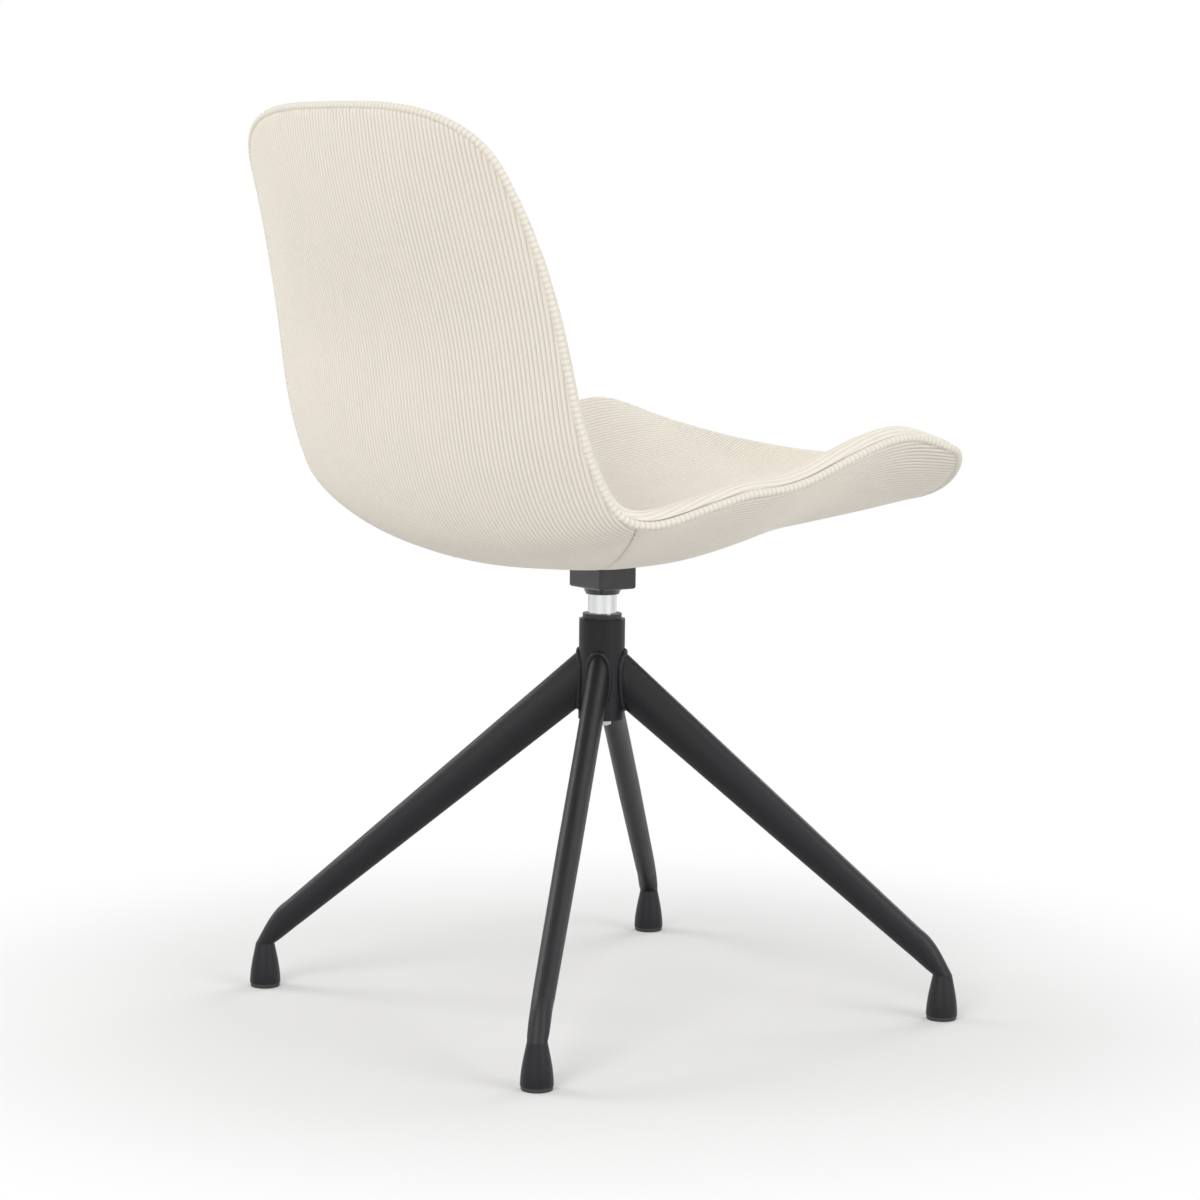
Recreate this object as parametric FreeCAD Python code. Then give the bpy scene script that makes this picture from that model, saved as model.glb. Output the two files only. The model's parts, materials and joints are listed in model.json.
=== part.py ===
import FreeCAD, Part
import os
from math import cos, hypot, pi, radians, sin, sqrt

# Swivel dining chair: an upholstered bucket shell that turns on a four-legged steel base.
# Millimetres. The floor is Z = 0 and the sitter faces -Y. Each piece is drawn with the swivel axis at
# X = Y = 0, and moved by axis_y when it is written.

os.makedirs("parts", exist_ok=True)
V = FreeCAD.Vector
UP = V(0, 0, 1)

# Base: hub tube
hub_bottom = 268.0
hub_length = 93.0
hub_diameter = 42.4
hub_wall = 2.6

# Base: legs, oval tubes welded to the hub and drawn down to a bell-shaped foot
leg_top_above_hub_bottom = 63.7
leg_bottom_above_hub_bottom = 9.7
leg_width_at_hub = 20.5
leg_width_at_middle = 21.0
leg_width_at_bend = 19.4
leg_width_at_neck = 18.9
leg_wall = 1.6
leg_run_in = 36.0
foot_reach = 319.6
bend_start_in = 36.1
bend_start_low = 63.3
bend_start_depth = 25.0
bend_middle_in = 24.0
bend_middle_low = 53.5
bend_middle_span = 18.5
bend_middle_high = 67.0
bend_end_in = 15.5
bend_end_low = 46.5
bend_end_span = 18.4
bend_end_high = 52.5
neck_height = 41.5
neck_diameter = 17.6
bell_height = 30.0
bell_diameter = 22.4
skirt_height = 15.0
skirt_diameter = 27.4
foot_diameter = 28.8
weld_radius = 2.8

# Base: glides pushed into the feet
glide_thickness = 4.0
glide_diameter = 27.6
glide_rounding = 1.2
stem_diameter = 12.0
stem_length = 14.0

# Swivel: bushes, thrust washer, post and its retaining screw
post_diameter = 26.4
running_clearance = 0.05
bush_collar_height = 5.0
bush_collar_diameter = 36.0
bush_length = 30.0
floor_inset = 3.0
floor_thickness = 5.0
floor_hole_diameter = 13.0
thrust_washer_thickness = 3.0
thrust_washer_diameter = 34.0
post_showing = 18.0
screw_diameter = 10.0
screw_length = 36.0
screw_head_height = 6.4
screw_head_width = 16.0
retaining_washer_diameter = 26.0
retaining_washer_thickness = 2.0
retaining_gap = 0.3

# Swivel head under the seat
head_width = 52.0
head_depth = 41.0
head_height = 25.0
head_corner_radius = 3.6
head_edge_radius = 2.4
head_neck_height = 5.5
head_neck_top_diameter = 36.0
head_neck_bottom_diameter = 31.0
socket_depth = 14.0

# Seat fixing: four screws through a backing plate and the shell into the head
fixing_spacing_x = 37.0
fixing_spacing_y = 26.0
fixing_diameter = 6.0
fixing_length = 26.0
fixing_head_diameter = 11.0
fixing_head_height = 3.4
washer_diameter = 12.5
washer_thickness = 1.2
hole_clearance = 0.4
plate_width = 74.0
plate_depth = 60.0
plate_thickness = 2.5
plate_corner_radius = 6.0
pocket_clearance = 1.5
boss_height = 10.5
plate_seat_thickness = 5.0

# Shell layers, measured inwards from the outer cover
cover_thickness = 2.5
layer_gap = 0.3
core_thickness = 5.0
head_above_cover = 3.5
piping_diameter = 7.0
piping_outset = 1.8
piping_lift = 3.4
cover_edge_inset = 3.6
core_edge_inset = 4.0
seam_width = 0.6
seam_side_y = 129.0
seam_side_x = 218.0
seam_centre_y = 12.0
fabric_clearance = 0.5

# How far cutting solids run past what they cut
tool_overrun = 20.0
shell_overrun = 600.0

# Where the swivel axis stands, so that the origin is under the middle of the whole chair
axis_y = -10.0

# Shell profile at the centre plane: how far back and how high above the belly
front_y, front_rise = -271.0, 50.0
thigh_y, thigh_rise = -190.0, 31.5
middle_y, middle_rise = -95.0, 19.0
belly_y = 80.0
belly_rise = 2.0
heel_y, heel_rise = 190.0, 34.0
lumbar_y, lumbar_rise = 229.0, 109.0
waist_y, waist_rise = 245.0, 209.0
chest_y, chest_rise = 270.0, 289.0
shoulder_y, shoulder_rise = 292.5, 374.0
crown_y, crown_rise = 297.0, 409.5

# Shell widths and side rises at shares of the profile's length
width_shares = (0.0, 0.24, 0.48, 0.60, 0.75, 0.88, 1.0)
half_widths = (240.0, 250.0, 251.0, 239.0, 226.5, 209.0, 181.0)
rise_shares = (0.0, 0.12, 0.24, 0.36, 0.48, 0.60, 0.75, 0.88, 1.0)
side_rises = (48.0, 96.0, 82.0, 82.0, 51.0, 45.0, 34.5, 38.0, 20.0)
flat_share_seat, flat_share_back = 0.44, 0.37
flat_rise_share = 0.14

# Shell outline: the drawn-in ends of the cover
front_end_length = 44.0
front_end_power = 2.05
top_end_length = 74.5
top_end_power = 3.2

# Inner pad: thickness over the outer cover, at its edge and along its middle
pad_shares = (0.0, 0.12, 0.24, 0.42, 0.60, 0.80, 1.0)
pad_edges = (13.0, 23.5, 21.5, 19.5, 18.0, 17.0, 10.0)
pad_middles = (44.0, 40.0, 38.0, 36.0, 32.0, 28.0, 24.0)
front_roll_height = 57.0
front_roll_length = 60.0
front_roll_outset = 7.0
pad_end_rounding = 26.0
pad_side_bulge = 2.0
pad_edge_set_in = 5.0


def spline(knots, values):
    """Natural cubic through the given values: returns a function of the place that gives value and slope."""
    count = len(knots)
    second = [0.0] * count
    carry = [0.0] * count
    for i in range(1, count - 1):
        before = knots[i] - knots[i - 1]
        after = knots[i + 1] - knots[i]
        share = before / (before + after)
        pivot = share * second[i - 1] + 2.0
        second[i] = (share - 1.0) / pivot
        bend = (values[i + 1] - values[i]) / after - (values[i] - values[i - 1]) / before
        carry[i] = (6.0 * bend / (before + after) - share * carry[i - 1]) / pivot
    for i in range(count - 2, -1, -1):
        second[i] = second[i] * second[i + 1] + carry[i]
    second[0] = 0.0

    def at(place):
        i = 0
        while i < count - 2 and place > knots[i + 1]:
            i += 1
        span = knots[i + 1] - knots[i]
        inside = min(max(place, knots[0]), knots[-1])
        a = (knots[i + 1] - inside) / span
        b = 1.0 - a
        value = a * values[i] + b * values[i + 1]
        value += ((a ** 3 - a) * second[i] + (b ** 3 - b) * second[i + 1]) * span * span / 6.0
        slope = (values[i + 1] - values[i]) / span
        slope += ((1.0 - 3.0 * a * a) * second[i] + (3.0 * b * b - 1.0) * second[i + 1]) * span / 6.0
        return value + slope * (place - inside), slope

    return at


# Heights that follow from the sizes above
hub_top = hub_bottom + hub_length
bush_top = hub_top + bush_collar_height
neck_bottom = bush_top + post_showing
head_bottom = neck_bottom + head_neck_height
head_top = head_bottom + head_height
belly = head_top - head_above_cover
core_low = cover_thickness + layer_gap
core_high = core_low + core_thickness
pad_low = core_high + layer_gap
hub_radius = hub_diameter / 2.0
hub_bore = hub_radius - hub_wall
floor_top = hub_bottom + floor_inset + floor_thickness
post_bottom = floor_top + thrust_washer_thickness
boss_top = head_top + boss_height
plate_top = boss_top + plate_thickness

# The profile as two splines over its chord length
profile_points = (
    (front_y, front_rise), (thigh_y, thigh_rise), (middle_y, middle_rise), (0.0, 0.0), (belly_y, belly_rise),
    (heel_y, heel_rise), (lumbar_y, lumbar_rise), (waist_y, waist_rise), (chest_y, chest_rise),
    (shoulder_y, shoulder_rise), (crown_y, crown_rise))
chord = [0.0]
for (y0, z0), (y1, z1) in zip(profile_points, profile_points[1:]):
    chord.append(chord[-1] + hypot(y1 - y0, z1 - z0))
length = chord[-1]
profile_y = spline(chord, [y for y, z in profile_points])
profile_z = spline(chord, [belly + z for y, z in profile_points])
half_width_at = spline(width_shares, half_widths)
side_rise_at = spline(rise_shares, side_rises)
pad_edge_at = spline(pad_shares, pad_edges)
pad_middle_at = spline(pad_shares, pad_middles)


def share_of(u):
    return min(max(u / length, 0.0), 1.0)


def contour(u, x, lift):
    """Point of the shell at place u along the profile, x to the side and lift inwards from the outer face."""
    y, along_y = profile_y(u)
    z, along_z = profile_z(u)
    size = hypot(along_y, along_z)
    share = share_of(u)
    width = half_width_at(share)[0]
    rise = side_rise_at(share)[0]
    flat = (flat_share_seat + (flat_share_back - flat_share_seat) * share) * width
    flat_rise = flat_rise_share * rise
    big = (flat * flat + flat_rise * flat_rise) / (2.0 * flat_rise)
    lean_x = flat / big
    lean_z = sqrt(1.0 - lean_x * lean_x)
    out = width - flat
    up = rise - flat_rise
    side = (out * out + up * up) / (2.0 * (up * lean_z - out * lean_x))
    if abs(x) <= flat:
        centre_x, centre_z, radius = 0.0, big, big
    else:
        centre_x, centre_z, radius = flat - side * lean_x, flat_rise + side * lean_z, side
    reach = abs(x) - centre_x
    drop = sqrt(radius * radius - reach * reach)
    place_x = abs(x) - lift * reach / radius
    place_z = centre_z - drop + lift * drop / radius
    if x < 0:
        place_x = -place_x
    return V(place_x, y - along_z / size * place_z, z + along_y / size * place_z)


def outline(share, end_length, power):
    """Where the drawn-in end reaches a share of the full width, as a length back from its tip."""
    return end_length * (1.0 - (1.0 - share ** power) ** (1.0 / power))


end_widths = (0.28, 0.46, 0.62, 0.76, 0.87, 0.95, 0.99)
middle_count = 30


def stations(front_grow=0.0, top_grow=0.0):
    """Places along the profile with the half width there, from the front tip to the top."""
    front = front_end_length + front_grow
    top = top_end_length + top_grow
    rows = [(outline(s, front, front_end_power) - front_grow, s) for s in end_widths]
    start, stop = front_end_length, length - top_end_length
    half_turn = [pi * i / (middle_count - 1) for i in range(middle_count)]
    rows += [((start + stop) / 2.0 - (stop - start) / 2.0 * cos(turn), 1.0) for turn in half_turn]
    rows += [(length + top_grow - outline(s, top, top_end_power), s) for s in reversed(end_widths)]
    return [(u, s * half_width_at(share_of(u))[0]) for u, s in rows]


def arc(a, b, c):
    return Part.Arc(a, b, c).toShape()


def line(a, b):
    return Part.LineSegment(a, b).toShape()


def broad_face(u, width, lift_at, leftwards):
    """Three arcs across the shell at one place; lift_at gives the lift for each share of the width."""
    shares = [-1.0, -0.8, -0.6, 0.0, 0.6, 0.8, 1.0]
    points = [contour(u, s * width, lift_at(s)) for s in shares]
    if leftwards:
        points.reverse()
    return [arc(*points[i:i + 3]) for i in (0, 2, 4)], points[0], points[-1]


def layer_wire(u, width, low, high):
    lower, left_low, right_low = broad_face(u, width, lambda s: low, False)
    upper, right_high, left_high = broad_face(u, width, lambda s: high, True)
    return Part.Wire(lower + [line(right_low, right_high)] + upper + [line(left_high, left_low)])


def smooth_loft(wires):
    return Part.makeLoft(wires, True, False).Solids[0]


def ruled_loft(wires):
    return Part.makeLoft(wires, True, True).Solids[0]


def layer(low, high, edge_inset):
    wires = []
    for u, width in stations(-edge_inset, -edge_inset):
        wires.append(layer_wire(u, width - edge_inset, low, high))
    return ruled_loft(wires)


def rounded_end(distance, rounding):
    """Share of the full thickness a distance in from a rounded end."""
    inside = min(max(distance / rounding, 0.0), 1.0)
    return sqrt(1.0 - (1.0 - inside) ** 2)


def pad_wire(u, width, tip):
    share = share_of(u)
    full = half_width_at(share)[0]
    edge = pad_edge_at(share)[0]
    middle = pad_middle_at(share)[0]
    roll = max(0.0, 1.0 - max(u, 0.0) / front_roll_length)
    middle += (front_roll_height - pad_middles[0]) * roll * roll * (3.0 - 2.0 * roll)
    narrow = 1.0 - (width / full) ** 2
    edge += (middle - edge) * min(max(narrow, 0.0), 1.0)
    thin = 0.45 + 0.55 * tip
    low_width = width - pad_side_bulge
    high_width = max(width - pad_edge_set_in, 0.8 * width)

    def top(s):
        return pad_low + (edge + (middle - edge) * (1.0 - s ** 4) - pad_low) * thin

    lower, left_low, right_low = broad_face(u, low_width, lambda s: pad_low, False)
    upper, right_high, left_high = broad_face(u, high_width, top, True)
    half = (pad_low + top(1.0)) / 2.0
    right = arc(right_low, contour(u, width + pad_side_bulge, half), right_high)
    left = arc(left_high, contour(u, -width - pad_side_bulge, half), left_low)
    return Part.Wire(lower + [right] + upper + [left])


def inner_pad():
    wires = []
    for u, width in stations(front_roll_outset, 0.0):
        tip = rounded_end(u + front_roll_outset, pad_end_rounding) * rounded_end(length - u, pad_end_rounding)
        wires.append(pad_wire(u, width, tip))
    return ruled_loft(wires)


def ring_of_circles(points, radius, steady):
    """Round cord through a closed run of points; steady gives each circle's reference direction."""
    wires = []
    count = len(points)
    for i, point in enumerate(points):
        along = (points[(i + 1) % count] - points[i - 1]).normalize()
        first = steady(point) - along * steady(point).dot(along)
        first.normalize()
        second = along.cross(first)
        ellipse = Part.Ellipse(point + first * radius, point + second * (radius * 0.9999), point)
        wires.append(Part.Wire([ellipse.toShape()]))
    return Part.makeLoft(wires, True, True, True).Solids[0]


edge_end_steps = 14
edge_side_steps = 44


def edge_places():
    """Places round the shell's edge from the front tip up the left side to the top, as (u, x)."""
    places = []
    steps = edge_end_steps
    for i in range(steps):
        turn = pi / 2.0 * i / steps
        share = sin(turn) ** (2.0 / front_end_power)
        places.append((outline(share, front_end_length, front_end_power), share))
    start, stop = front_end_length, length - top_end_length
    for i in range(edge_side_steps + 1):
        places.append((start + (stop - start) * i / edge_side_steps, 1.0))
    for i in range(steps - 1, -1, -1):
        turn = pi / 2.0 * i / steps
        share = sin(turn) ** (2.0 / top_end_power)
        places.append((length - outline(share, top_end_length, top_end_power), share))
    return [(u, s * half_width_at(share_of(u))[0]) for u, s in places]


def edge_line(outset, lift):
    """Closed run of points round the shell's edge, moved outwards by outset."""
    half = edge_places()
    loop = half + [(u, -x) for u, x in reversed(half[1:-1])]
    points = []
    for i, (u, x) in enumerate(loop):
        before = loop[i - 1]
        after = loop[(i + 1) % len(loop)]
        du, dx = after[0] - before[0], after[1] - before[1]
        size = hypot(du, dx)
        points.append(contour(u - outset * dx / size, x + outset * du / size, lift))
    return points


def cylinder(radius, low, high, x=0.0, y=0.0):
    return Part.makeCylinder(radius, high - low, V(x, y, low))


def ring(outer, inner, low, high, x=0.0, y=0.0):
    return cylinder(outer, low, high, x, y).cut(cylinder(inner, low, high, x, y))


def block(width, depth, low, high, x=0.0, y=0.0):
    return Part.makeBox(width, depth, high - low, V(x - width / 2.0, y - depth / 2.0, low))


def rounded_block(width, depth, low, high, corner):
    shape = block(width, depth, low, high)
    upright = [e for e in shape.Edges if abs(e.tangentAt(e.FirstParameter).z) > 0.99]
    return shape.makeFillet(corner, upright)


def hexagon(width, low, high, x=0.0, y=0.0):
    radius = width / sqrt(3.0)
    corners = [V(x + radius * cos(pi / 3.0 * i), y + radius * sin(pi / 3.0 * i), low) for i in range(7)]
    return Part.Face(Part.makePolygon(corners)).extrude(V(0, 0, high - low))


# The legs are drawn in the plane Y = 0 along +X and turned into place
leg_top_at_hub = hub_bottom + leg_top_above_hub_bottom
leg_bottom_at_hub = hub_bottom + leg_bottom_above_hub_bottom


def oval(low_x, low_z, high_x, high_z, width, wall):
    """Oval wire between two points of the leg's outline, the wall's thickness inside it."""
    middle = V((low_x + high_x) / 2.0, 0, (low_z + high_z) / 2.0)
    tall = V(high_x - low_x, 0, high_z - low_z)
    half = tall.Length / 2.0 - wall
    tall.normalize()
    side = min(width / 2.0 - wall, half * 0.9999)
    return Part.Wire([Part.Ellipse(middle + tall * half, middle + V(0, side, 0), middle).toShape()])


def leg_outline(share):
    """Lower and upper points of the straight leg at a share of the way from inside the hub to the bend."""
    low_end = (foot_reach - bend_start_in, bend_start_low)
    lean = hypot(low_end[0] - hub_radius, low_end[1] - leg_bottom_at_hub)
    along = ((low_end[0] - hub_radius) / lean, (low_end[1] - leg_bottom_at_hub) / lean)
    high_end = (low_end[0] - along[1] * bend_start_depth, low_end[1] + along[0] * bend_start_depth)
    depth_at_hub = (leg_top_at_hub - leg_bottom_at_hub) * along[0]
    low_start = (hub_radius - leg_run_in, leg_bottom_at_hub - along[1] / along[0] * leg_run_in)
    high_start = (low_start[0] - along[1] * depth_at_hub, low_start[1] + along[0] * depth_at_hub)
    low = [a + (b - a) * share for a, b in zip(low_start, low_end)]
    high = [a + (b - a) * share for a, b in zip(high_start, high_end)]
    return low[0], low[1], high[0], high[1]


leg_widths = ((0.0, leg_width_at_hub), (0.3, leg_width_at_hub), (0.6, leg_width_at_middle), (1.0, leg_width_at_bend))


def straight_wires(wall):
    return [oval(*leg_outline(share), width, wall) for share, width in leg_widths]


def bend_wires():
    wires = []
    for inwards, low, span, high in ((bend_middle_in, bend_middle_low, bend_middle_span, bend_middle_high),
                                     (bend_end_in, bend_end_low, bend_end_span, bend_end_high)):
        low_x = foot_reach - inwards
        wires.append(oval(low_x, low, low_x + span, high, leg_width_at_neck, 0.0))
    return wires


def foot_wire(height, diameter):
    half = diameter / 2.0
    return oval(foot_reach - half, height, foot_reach + half, height, diameter, 0.0)


def leg_body():
    straight = straight_wires(0.0)
    neck = foot_wire(neck_height, neck_diameter)
    tube = ruled_loft(straight)
    bend = smooth_loft([straight[-1]] + bend_wires() + [neck])
    foot = smooth_loft([neck, foot_wire(bell_height, bell_diameter), foot_wire(skirt_height, skirt_diameter),
                        foot_wire(glide_thickness, foot_diameter)])
    return tube.fuse([bend, foot]).removeSplitter()


def leg():
    hollow = ruled_loft(straight_wires(leg_wall))
    shape = leg_body().cut(hollow).cut(cylinder(hub_radius, hub_bottom - tool_overrun, hub_top + tool_overrun))
    shape = shape.cut(cylinder(stem_diameter / 2.0, 0.0, glide_thickness + stem_length, foot_reach))
    return max(shape.Solids, key=lambda s: s.Volume)


def leg_weld():
    """Bead round the leg where it meets the hub, on the line where the oval cuts the cylinder."""
    low_x, low_z, high_x, high_z = leg_outline(0.0)
    end_low_x, end_low_z, end_high_x, end_high_z = leg_outline(1.0)
    half_width = leg_width_at_hub / 2.0
    points = []
    count = 20
    for i in range(count):
        turn = 2.0 * pi * i / count
        y = half_width * sin(turn)
        x = sqrt(hub_radius ** 2 - y * y)
        top = high_z + (end_high_z - high_z) * (x - high_x) / (end_high_x - high_x)
        bottom = low_z + (end_low_z - low_z) * (x - low_x) / (end_low_x - low_x)
        points.append(V(x, y, (top + bottom) / 2.0 + (top - bottom) / 2.0 * cos(turn)))
    bead = ring_of_circles(points, weld_radius, lambda point: V(1, 0, 0))
    bead = bead.cut(cylinder(hub_radius, hub_bottom - tool_overrun, hub_top + tool_overrun)).cut(leg_body())
    return max(bead.Solids, key=lambda s: s.Volume)


def turned(shape, degrees):
    copy = shape.copy()
    copy.rotate(V(0, 0, 0), UP, degrees)
    return copy


leg_places = {"leg_front_left": -45.0, "leg_front_right": -135.0, "leg_back_left": 45.0, "leg_back_right": 135.0}


def glide():
    plate = cylinder(glide_diameter / 2.0, 0.0, glide_thickness, foot_reach)
    lower = [e for e in plate.Edges if e.BoundBox.ZMax < 0.01]
    plate = plate.makeFillet(glide_rounding, lower)
    stem = cylinder(stem_diameter / 2.0, glide_thickness, glide_thickness + stem_length, foot_reach)
    return plate.fuse(stem).removeSplitter()


def bush(low, high, collar_high):
    body = cylinder(hub_bore, low, high)
    if collar_high > high:
        body = body.fuse(cylinder(bush_collar_diameter / 2.0, high, collar_high))
    bore = cylinder(post_diameter / 2.0 + running_clearance, low, collar_high)
    return body.cut(bore).removeSplitter()


def swivel_head():
    box = rounded_block(head_width, head_depth, head_bottom, head_top, head_corner_radius)
    lower = [e for e in box.Edges if e.BoundBox.ZMax < head_bottom + 0.01]
    box = box.makeFillet(head_edge_radius, lower)
    neck = Part.makeCone(head_neck_bottom_diameter / 2.0, head_neck_top_diameter / 2.0,
                         head_neck_height, V(0, 0, neck_bottom))
    shape = box.fuse(neck).removeSplitter()
    shape = shape.cut(cylinder(post_diameter / 2.0, neck_bottom, head_bottom + socket_depth))
    for x, y in fixing_places():
        shape = shape.cut(cylinder(fixing_diameter / 2.0, fixing_tip, head_top, x, y))
    return shape


def fixing_places():
    return [(x * fixing_spacing_x / 2.0, y * fixing_spacing_y / 2.0) for x in (-1, 1) for y in (-1, 1)]


fixing_seat = plate_top + washer_thickness
fixing_tip = fixing_seat - fixing_length


def fixing_holes(shape, low, high):
    for x, y in fixing_places():
        shape = shape.cut(cylinder(fixing_diameter / 2.0 + hole_clearance, low, high, x, y))
    return shape


def shell_core():
    shell = layer(core_low, core_high, core_edge_inset)
    shell = shell.cut(block(head_width, head_depth, belly - cover_thickness, head_top))
    pillar = rounded_block(head_width, head_depth, head_top, boss_top, head_corner_radius)
    seat = rounded_block(plate_width, plate_depth, boss_top - plate_seat_thickness, boss_top, plate_corner_radius)
    shell = shell.fuse([pillar, seat])
    return fixing_holes(shell, belly, boss_top).removeSplitter()


def seam_side(back):
    """Tall block on the back or front side of the mitre seam, which runs in a V from the sides to the head."""
    shift = seam_width / 2.0 if back else -seam_width / 2.0
    slope = (seam_side_y - seam_centre_y) / seam_side_x
    far = shell_overrun
    tip = V(0, seam_centre_y + shift, 0)
    left = V(far, seam_centre_y + slope * far + shift, 0)
    right = V(-far, left.y, 0)
    end = 2.0 * far if back else -2.0 * far
    corners = [tip, left, V(far, end, 0), V(-far, end, 0), right, tip]
    return Part.Face(Part.makePolygon(corners)).extrude(V(0, 0, belly + shell_overrun))


def outer_cover(back):
    cover = layer(0.0, cover_thickness, cover_edge_inset).common(seam_side(back))
    opening = rounded_block(head_width + 2.0 * fabric_clearance, head_depth + 2.0 * fabric_clearance,
                            head_bottom, boss_top, head_corner_radius)
    return max(cover.cut(opening).Solids, key=lambda s: s.Volume)


def seat_pad():
    pocket = rounded_block(plate_width + 2.0 * pocket_clearance, plate_depth + 2.0 * pocket_clearance, belly,
                           fixing_seat + fixing_head_height + pocket_clearance, plate_corner_radius)
    return max(inner_pad().cut(pocket).Solids, key=lambda s: s.Volume)


def edge_piping():
    return ring_of_circles(edge_line(piping_outset, piping_lift), piping_diameter / 2.0, lambda point: V(0, -0.5, 0.86))


def hub_floor():
    return ring(hub_bore, floor_hole_diameter / 2.0, hub_bottom + floor_inset, floor_top)


def swivel_post():
    post = cylinder(post_diameter / 2.0, post_bottom, head_bottom + socket_depth)
    return post.cut(cylinder(screw_diameter / 2.0, post_bottom, screw_tip))


screw_seat = hub_bottom + floor_inset - retaining_gap - retaining_washer_thickness
screw_tip = screw_seat + screw_length


def retaining_screw():
    shank = cylinder(screw_diameter / 2.0, screw_seat, screw_tip)
    head = hexagon(screw_head_width, screw_seat - screw_head_height, screw_seat)
    return shank.fuse(head).removeSplitter()


def retaining_washer():
    return ring(retaining_washer_diameter / 2.0, screw_diameter / 2.0, screw_seat,
                screw_seat + retaining_washer_thickness)


def thrust_washer():
    return ring(thrust_washer_diameter / 2.0, floor_hole_diameter / 2.0, floor_top, post_bottom)


def fixing_screws():
    screws = []
    for x, y in fixing_places():
        shank = cylinder(fixing_diameter / 2.0, fixing_tip, fixing_seat, x, y)
        head = cylinder(fixing_head_diameter / 2.0, fixing_seat, fixing_seat + fixing_head_height, x, y)
        screws.append(shank.fuse(head).removeSplitter())
    return Part.makeCompound(screws)


def fixing_washers():
    return Part.makeCompound([ring(washer_diameter / 2.0, fixing_diameter / 2.0, plate_top, fixing_seat, x, y)
                              for x, y in fixing_places()])


def backing_plate():
    plate = rounded_block(plate_width, plate_depth, boss_top, plate_top, plate_corner_radius)
    return fixing_holes(plate, boss_top, plate_top)


def export(name, shape):
    for solid in shape.Solids:
        if not solid.isValid() or solid.Volume < 1.0:
            raise ValueError(name + " has an unsound solid")
    shape.translate(V(0, axis_y, 0))
    shape.exportStep("parts/" + name + ".step")
    box = shape.BoundBox
    print("%-18s %2d solids %9.1f cm3  X %7.1f %7.1f  Y %7.1f %7.1f  Z %7.1f %7.1f" % (
        name, len(shape.Solids), shape.Volume / 1000.0, box.XMin, box.XMax, box.YMin, box.YMax, box.ZMin, box.ZMax))


one_leg = leg()
for leg_name, leg_turn in leg_places.items():
    export(leg_name, turned(one_leg, leg_turn))
export("hub_tube", ring(hub_radius, hub_bore, hub_bottom, hub_top))
export("hub_floor", hub_floor())
one_weld = leg_weld()
export("leg_welds", Part.makeCompound([turned(one_weld, a) for a in leg_places.values()]))
one_glide = glide()
export("foot_glides", Part.makeCompound([turned(one_glide, a) for a in leg_places.values()]))
export("upper_bush", bush(hub_top - bush_length, hub_top, bush_top))
export("lower_bush", bush(post_bottom, post_bottom + bush_length, post_bottom + bush_length))
export("thrust_washer", thrust_washer())
export("swivel_post", swivel_post())
export("retaining_screw", retaining_screw())
export("retaining_washer", retaining_washer())
export("swivel_head", swivel_head())
export("backing_plate", backing_plate())
export("fixing_screws", fixing_screws())
export("fixing_washers", fixing_washers())
export("shell_core", shell_core())
export("seat_pad", seat_pad())
export("back_cover", outer_cover(True))
export("under_cover", outer_cover(False))
export("edge_piping", edge_piping())
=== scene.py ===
import json
from math import cos, pi, radians, sin

import bmesh
import bpy
import numpy as np
from bpy.props import FloatProperty, FloatVectorProperty, IntProperty, PointerProperty
from mathutils import Matrix, Vector
from mathutils.geometry import delaunay_2d_cdt


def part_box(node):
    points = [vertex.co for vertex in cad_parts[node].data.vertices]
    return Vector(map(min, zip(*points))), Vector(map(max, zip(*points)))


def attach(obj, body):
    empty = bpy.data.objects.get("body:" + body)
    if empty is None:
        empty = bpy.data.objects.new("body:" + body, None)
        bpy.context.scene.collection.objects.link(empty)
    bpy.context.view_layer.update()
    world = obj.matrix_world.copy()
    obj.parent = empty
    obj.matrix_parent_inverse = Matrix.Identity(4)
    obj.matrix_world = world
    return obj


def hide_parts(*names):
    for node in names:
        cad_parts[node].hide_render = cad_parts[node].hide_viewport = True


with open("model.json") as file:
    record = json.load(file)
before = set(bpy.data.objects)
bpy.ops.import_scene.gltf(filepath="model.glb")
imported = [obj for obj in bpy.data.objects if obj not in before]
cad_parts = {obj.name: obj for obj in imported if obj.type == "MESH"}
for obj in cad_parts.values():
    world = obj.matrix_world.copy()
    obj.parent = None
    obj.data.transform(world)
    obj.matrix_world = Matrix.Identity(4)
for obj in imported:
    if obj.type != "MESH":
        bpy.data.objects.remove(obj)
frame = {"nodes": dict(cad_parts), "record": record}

bl_info = {
    "name": "Swivel dining chair",
    "version": (1, 0, 0),
    "blender": (4, 5, 0),
    "location": "3D View > Sidebar > Chair",
    "description": "Dresses the chair: ribbed covers, piping, seat pad, base finishes and stage",
    "category": "Object",
}

# The shell's form, the same as in the part's solids. Lengths are in metres
HEAD_IN_COVER = 0.0035
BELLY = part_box("swivel_head")[1].z - HEAD_IN_COVER
PROFILE_Y = (-0.271, -0.190, -0.095, 0.0, 0.080, 0.190, 0.229, 0.245, 0.270, 0.2925, 0.297)
PROFILE_RISE = (0.050, 0.0315, 0.019, 0.0, 0.002, 0.034, 0.109, 0.209, 0.289, 0.374, 0.4095)
WIDTH_SHARES = (0.0, 0.24, 0.48, 0.60, 0.75, 0.88, 1.0)
HALF_WIDTHS = (0.240, 0.250, 0.251, 0.239, 0.2265, 0.209, 0.181)
RISE_SHARES = (0.0, 0.12, 0.24, 0.36, 0.48, 0.60, 0.75, 0.88, 1.0)
SIDE_RISES = (0.048, 0.096, 0.082, 0.082, 0.051, 0.045, 0.0345, 0.038, 0.020)
FLAT_SHARE_SEAT, FLAT_SHARE_BACK = 0.44, 0.37
FLAT_RISE_SHARE = 0.14
FRONT_END_LENGTH, FRONT_END_POWER = 0.044, 2.05
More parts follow.
